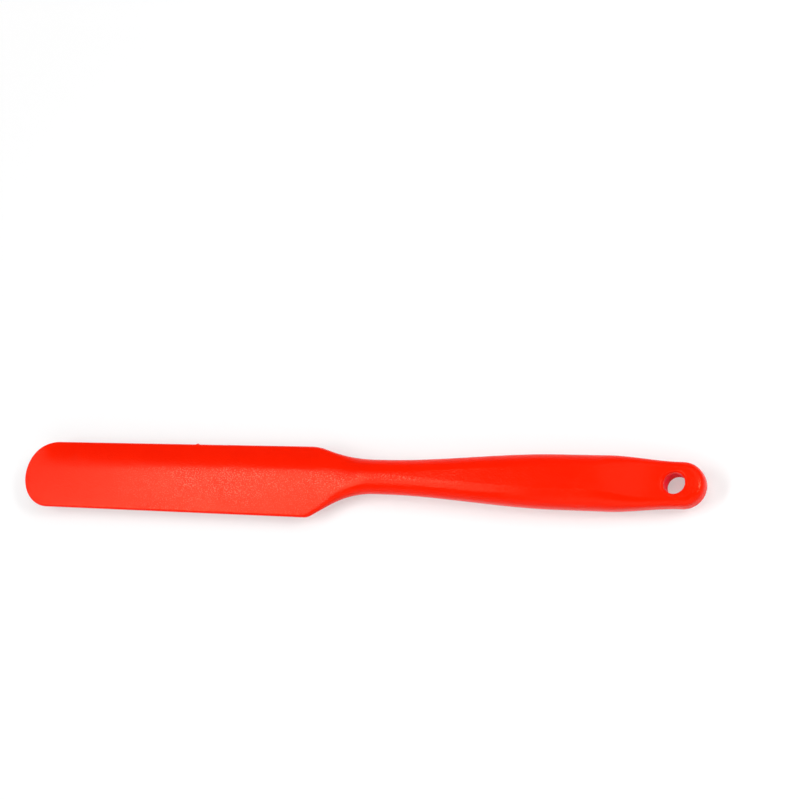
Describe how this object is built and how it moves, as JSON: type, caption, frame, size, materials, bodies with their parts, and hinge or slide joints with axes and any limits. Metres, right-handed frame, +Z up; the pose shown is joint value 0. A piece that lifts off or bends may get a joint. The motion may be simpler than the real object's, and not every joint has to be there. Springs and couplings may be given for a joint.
{
  "type": "cake scraper",
  "caption": "Long one-piece red silicone cake scraper with a round-tipped blade, slim neck, swollen grip, hanging hole and a stiff nylon core moulded inside.",
  "frame": {"origin": "centre of the overall box, on the surface that the tool lies on", "axes": "+X along the tool from the blade's tip to the handle's end, +Y across it towards the blade's upper edge, +Z up through its thickness"},
  "size_m": [0.28, 0.0274, 0.012],
  "materials": {
    "silicone": "fine satin mould texture, soft sheen",
    "nylon": "satin moulded nylon, tinted to match the silicone"
  },
  "bodies": {
    "root": {"silicone_body": "silicone", "nylon_core": "nylon"}
  },
  "joints": []
}
